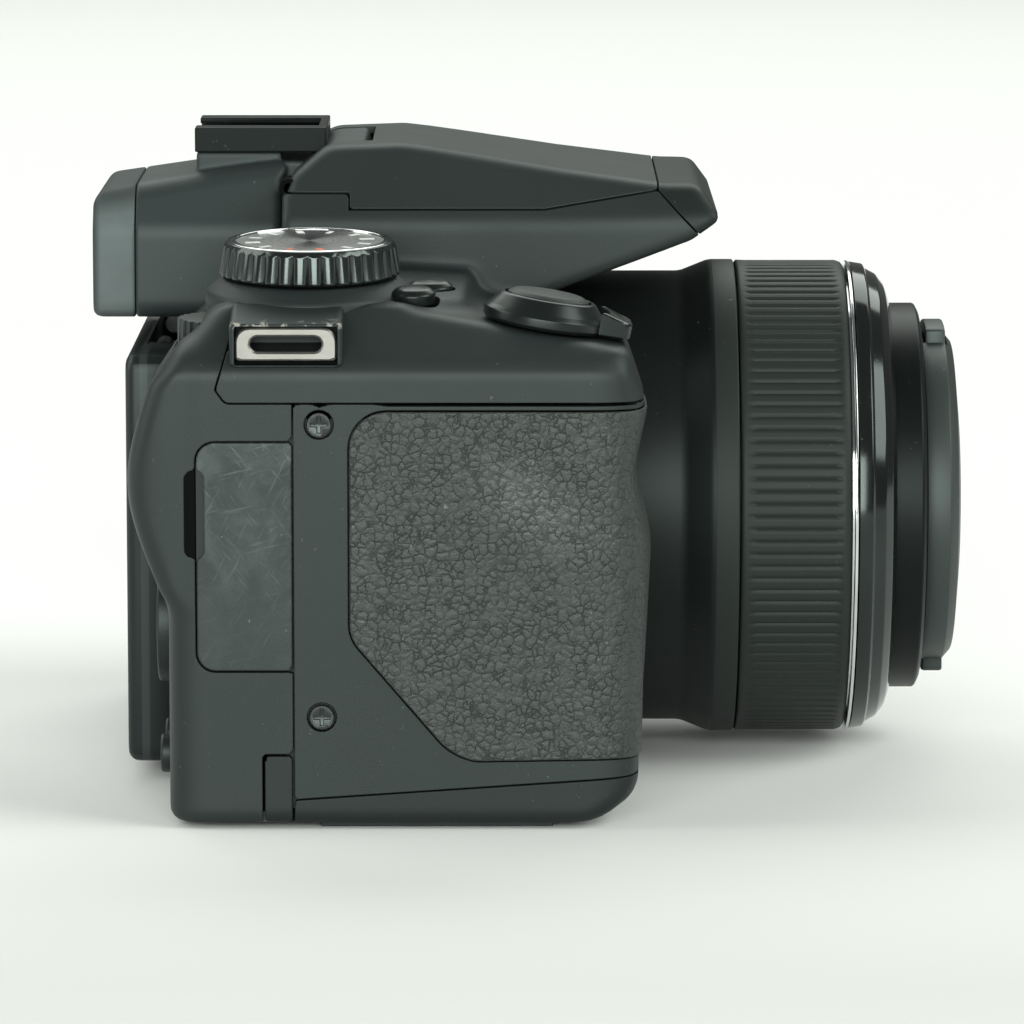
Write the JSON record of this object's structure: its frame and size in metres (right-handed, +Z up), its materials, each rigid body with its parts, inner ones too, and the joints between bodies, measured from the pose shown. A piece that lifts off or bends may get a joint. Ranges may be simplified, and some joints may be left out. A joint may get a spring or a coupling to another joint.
{
  "type": "bridge camera",
  "caption": "Long-zoom bridge camera with a hand grip, telescoping lens under a pinch cap, pop-up flash, eye-level viewfinder and tilting rear screen.",
  "frame": {"origin": "mouth of the tripod socket, in the base plane under the lens axis", "axes": "+Z up out of the base, -Y the way the lens looks, -X towards the hand grip"},
  "size_m": [0.123, 0.1217, 0.0888],
  "materials": {
    "cover_plastic": "fine satin grain",
    "base_plastic": "fine satin grain",
    "grip_rubber": "pebbled",
    "soft_rubber": "matte",
    "door_rubber": "matte, lightly scuffed",
    "black_plastic": "satin",
    "gloss_black": "gloss",
    "steel": "brushed",
    "dark_metal": "satin black",
    "chrome": "polished",
    "disc_metal": "spun",
    "barrel_metal": "satin black",
    "plated_sheet": "plain",
    "board": "solder mask",
    "cell": "satin",
    "card": "satin",
    "lens_glass": "coated",
    "screen_glass": "gloss",
    "flash_clear": "ribbed",
    "reflector": "bright",
    "screw_steel": "black oxide"
  },
  "bodies": {
    "body": {"front_cover": "cover_plastic", "rear_cover": "cover_plastic", "top_cover": "cover_plastic", "base_cover": "base_plastic", "grip_rubber": "grip_rubber", "nose_panel": "gloss_black", "viewfinder_housing": "cover_plastic", "eyecup": "soft_rubber", "eyepiece_lens": "screen_glass", "hot_shoe": "dark_metal", "strap_lugs": "steel", "cover_screws": "screw_steel", "tripod_bush": "steel", "chassis": "plated_sheet", "main_board": "board", "battery_chamber": "black_plastic", "battery": "cell", "memory_card": "card", "terminal_sockets": "black_plastic", "lens_base": "cover_plastic", "rear_lens": "lens_glass", "image_sensor": "board", "lens_trim_ring": "chrome", "lens_bezel": "gloss_black", "flash_hinge_pins": "steel"},
    "focus_ring": {"focus_ring": "barrel_metal", "focus_grip": "soft_rubber"},
    "zoom_barrel": {"zoom_barrel": "barrel_metal", "zoom_lens": "lens_glass"},
    "front_barrel": {"front_barrel": "barrel_metal", "front_lens": "lens_glass"},
    "lens_cap": {"lens_cap": "black_plastic"},
    "cap_tab_upper": {"cap_tab_upper": "black_plastic"},
    "cap_tab_lower": {"cap_tab_lower": "black_plastic"},
    "mode_dial": {"mode_dial": "black_plastic", "mode_dial_disc": "disc_metal"},
    "zoom_lever": {"zoom_ring": "cover_plastic", "zoom_tab": "gloss_black"},
    "shutter_button": {"shutter_button": "black_plastic"},
    "power_button": {"power_button": "black_plastic"},
    "exposure_button": {"exposure_button": "black_plastic"},
    "command_dial": {"command_dial": "black_plastic"},
    "flash": {"flash_lid": "cover_plastic", "flash_lamp": "reflector", "flash_window": "flash_clear"},
    "flash_button": {"flash_button": "black_plastic"},
    "screen_bracket": {"screen_bracket": "dark_metal"},
    "screen": {"screen_housing": "black_plastic", "screen_glass": "screen_glass"},
    "terminal_door": {"terminal_door": "door_rubber"},
    "power_flap": {"power_flap": "door_rubber"},
    "battery_door": {"battery_door": "base_plastic"},
    "battery_latch": {"battery_latch": "black_plastic"},
    "selector_pad": {"selector_pad": "black_plastic"},
    "ok_button": {"ok_button": "black_plastic"},
    "play_button": {"play_button": "black_plastic"},
    "menu_button": {"menu_button": "black_plastic"},
    "display_button": {"display_button": "black_plastic"},
    "dioptre_dial": {"dioptre_dial": "black_plastic"}
  },
  "joints": [
    {"name": "focus_turn", "type": "hinge", "parent": "body", "child": "focus_ring", "pos_m": [0, -0.052, 0.0354], "axis": [0, -1, 0], "continuous": true},
    {"name": "zoom_extend", "type": "slide", "parent": "body", "child": "zoom_barrel", "axis": [0, -1, 0], "range_m": [0, 0.026]},
    {"name": "front_extend", "type": "slide", "parent": "zoom_barrel", "child": "front_barrel", "axis": [0, -1, 0], "range_m": [0, 0.0195]},
    {"name": "cap_pull_off", "type": "slide", "parent": "front_barrel", "child": "lens_cap", "axis": [0, -1, 0], "range_m": [0, 0.02]},
    {"name": "cap_tab_upper_press", "type": "slide", "parent": "lens_cap", "child": "cap_tab_upper", "axis": [0, 0, -1], "range_m": [0, 0.0015], "stiffness_N_per_m": 400},
    {"name": "cap_tab_lower_press", "type": "slide", "parent": "lens_cap", "child": "cap_tab_lower", "axis": [0, 0, 1], "range_m": [0, 0.0015], "stiffness_N_per_m": 400},
    {"name": "mode_dial_turn", "type": "hinge", "parent": "body", "child": "mode_dial", "pos_m": [-0.046, 0.0142, 0.07186], "axis": [-0.0483, 0, 0.9988], "continuous": true},
    {"name": "zoom_lever_turn", "type": "hinge", "parent": "body", "child": "zoom_lever", "pos_m": [-0.0535, -0.0172, 0.06583], "axis": [0, -0.1644, 0.9864], "range_deg": [-18, 18], "stiffness_Nm_per_rad": 0.03},
    {"name": "shutter_press", "type": "slide", "parent": "body", "child": "shutter_button", "axis": [0, 0.1644, -0.9864], "range_m": [0, 0.001], "stiffness_N_per_m": 800},
    {"name": "power_press", "type": "slide", "parent": "body", "child": "power_button", "axis": [0.0965, 0, -0.9953], "range_m": [0, 0.0006], "stiffness_N_per_m": 900},
    {"name": "exposure_press", "type": "slide", "parent": "body", "child": "exposure_button", "axis": [0.0965, 0, -0.9953], "range_m": [0, 0.0006], "stiffness_N_per_m": 900},
    {"name": "command_dial_turn", "type": "hinge", "parent": "body", "child": "command_dial", "pos_m": [-0.05, 0.0243, 0.0652], "axis": [0, 0, 1], "continuous": true},
    {"name": "flash_lift", "type": "hinge", "parent": "body", "child": "flash", "pos_m": [0, 0.0179, 0.0813], "axis": [-1, 0, 0], "range_deg": [0, 32]},
    {"name": "flash_button_press", "type": "slide", "parent": "body", "child": "flash_button", "axis": [-1, 0, 0], "range_m": [0, 0.0006], "stiffness_N_per_m": 900},
    {"name": "screen_bracket_tilt", "type": "hinge", "parent": "body", "child": "screen_bracket", "pos_m": [0, 0.036, 0.0036], "axis": [-1, 0, 0], "range_deg": [0, 35]},
    {"name": "screen_tilt", "type": "hinge", "parent": "screen_bracket", "child": "screen", "pos_m": [0, 0.036, 0.0576], "axis": [1, 0, 0], "range_deg": [0, 88]},
    {"name": "terminal_door_open", "type": "hinge", "parent": "body", "child": "terminal_door", "pos_m": [-0.0661, 0.0171, 0.0367], "axis": [0, 0, 1], "range_deg": [0, 100]},
    {"name": "power_flap_open", "type": "hinge", "parent": "body", "child": "power_flap", "pos_m": [-0.0661, 0.0171, 0.005], "axis": [0, 0, 1], "range_deg": [0, 80]},
    {"name": "battery_door_open", "type": "hinge", "parent": "body", "child": "battery_door", "pos_m": [-0.046, -0.003, 0.0015], "axis": [0, -1, 0], "range_deg": [0, 95]},
    {"name": "battery_latch_slide", "type": "slide", "parent": "battery_door", "child": "battery_latch", "axis": [0, 1, 0], "range_m": [0, 0.002]},
    {"name": "selector_press", "type": "slide", "parent": "body", "child": "selector_pad", "axis": [0, -1, 0], "range_m": [0, 0.0005], "stiffness_N_per_m": 900},
    {"name": "ok_press", "type": "slide", "parent": "body", "child": "ok_button", "axis": [0, -1, 0], "range_m": [0, 0.0005], "stiffness_N_per_m": 900},
    {"name": "play_press", "type": "slide", "parent": "body", "child": "play_button", "axis": [0, -1, 0], "range_m": [0, 0.0005], "stiffness_N_per_m": 900},
    {"name": "menu_press", "type": "slide", "parent": "body", "child": "menu_button", "axis": [0, -1, 0], "range_m": [0, 0.0005], "stiffness_N_per_m": 900},
    {"name": "display_press", "type": "slide", "parent": "body", "child": "display_button", "axis": [0, -1, 0], "range_m": [0, 0.0005], "stiffness_N_per_m": 900},
    {"name": "dioptre_turn", "type": "hinge", "parent": "body", "child": "dioptre_dial", "pos_m": [0.0182, 0.0326, 0.07], "axis": [1, 0, 0], "continuous": true}
  ],
  "couplings": [
    {"joint": "front_extend", "follows": "zoom_extend", "ratio": 0.75}
  ]
}
